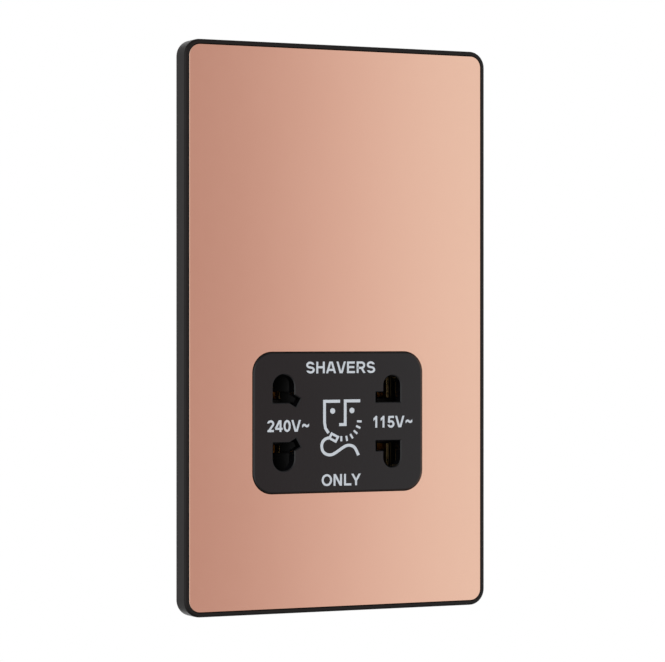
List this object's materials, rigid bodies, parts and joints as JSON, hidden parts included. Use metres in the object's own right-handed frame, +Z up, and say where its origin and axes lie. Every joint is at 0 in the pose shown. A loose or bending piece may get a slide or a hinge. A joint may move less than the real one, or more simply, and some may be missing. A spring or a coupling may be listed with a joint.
{
  "type": "shaver socket",
  "caption": "Two-gang dual-voltage shaver socket: screwless copper-finished flat plate, black insert, shuttered apertures and a housed isolating transformer.",
  "frame": {"origin": "middle of the plate, on the wall plane, midway between the two box screws", "axes": "+X to the right seen from the front, +Y into the wall, +Z up"},
  "size_m": [0.086, 0.0468, 0.146],
  "materials": {
    "copper_finish": "polished copper plating on steel sheet",
    "black_moulding": "fine satin moulded",
    "charcoal_face": "satin moulded with printed legends",
    "galvanised_steel": "galvanised, pressed",
    "zinc_screw": "zinc plated",
    "housing_moulding": "white moulded",
    "terminal_moulding": "grey-white moulded",
    "brass": "bright rolled and turned",
    "laminations": "varnished silicon steel",
    "bobbin_nylon": "natural nylon",
    "enamelled_copper": "enamelled winding wire",
    "winding_tape": "yellow polyester tape",
    "cutout_case": "moulded case",
    "slider_moulding": "black acetal",
    "lever_moulding": "natural acetal",
    "spring_steel": "bright strip"
  },
  "bodies": {
    "housing": {"block_screw": "zinc_screw", "bobbin": "bobbin_nylon", "contact_115_bottom": "brass", "contact_115_top": "brass", "contact_240_bottom": "brass", "contact_240_top": "brass", "contact_carrier": "slider_moulding", "core_e": "laminations", "core_i": "laminations", "core_strap": "galvanised_steel", "edge_frame": "black_moulding", "fixed_contact_left": "brass", "fixed_contact_right": "brass", "fixing_screws": "zinc_screw", "front_plate": "copper_finish", "housing_screws": "zinc_screw", "lever_pin": "zinc_screw", "mounting_frame": "galvanised_steel", "primary_tape": "winding_tape", "primary_winding": "enamelled_copper", "rear_housing": "housing_moulding", "secondary_tape": "winding_tape", "secondary_winding": "enamelled_copper", "slider_spring_left": "spring_steel", "slider_spring_right": "spring_steel", "socket_face": "charcoal_face", "terminal_block": "terminal_moulding", "terminal_earth": "brass", "terminal_live": "brass", "terminal_neutral": "brass", "terminal_screws": "zinc_screw", "thermal_cutout": "cutout_case"},
    "slider": {"shutter_slider": "slider_moulding"},
    "lever": {"switch_lever": "lever_moulding", "moving_contact": "brass"}
  },
  "joints": [
    {"name": "shutter_slide", "type": "slide", "parent": "housing", "child": "slider", "axis": [1, 0, 0], "range_m": [-0.0032, 0.0032], "stiffness_N_per_m": 100, "deforming": ["slider_spring_left", "slider_spring_right"]},
    {"name": "switch_rock", "type": "hinge", "parent": "housing", "child": "lever", "pos_m": [0, 0.014, -0.0242], "axis": [0, 0, 1], "range_deg": [-15.3, 15.3]}
  ],
  "couplings": [
    {"joint": "switch_rock", "follows": "shutter_slide", "rad_per_m": 83.333}
  ]
}
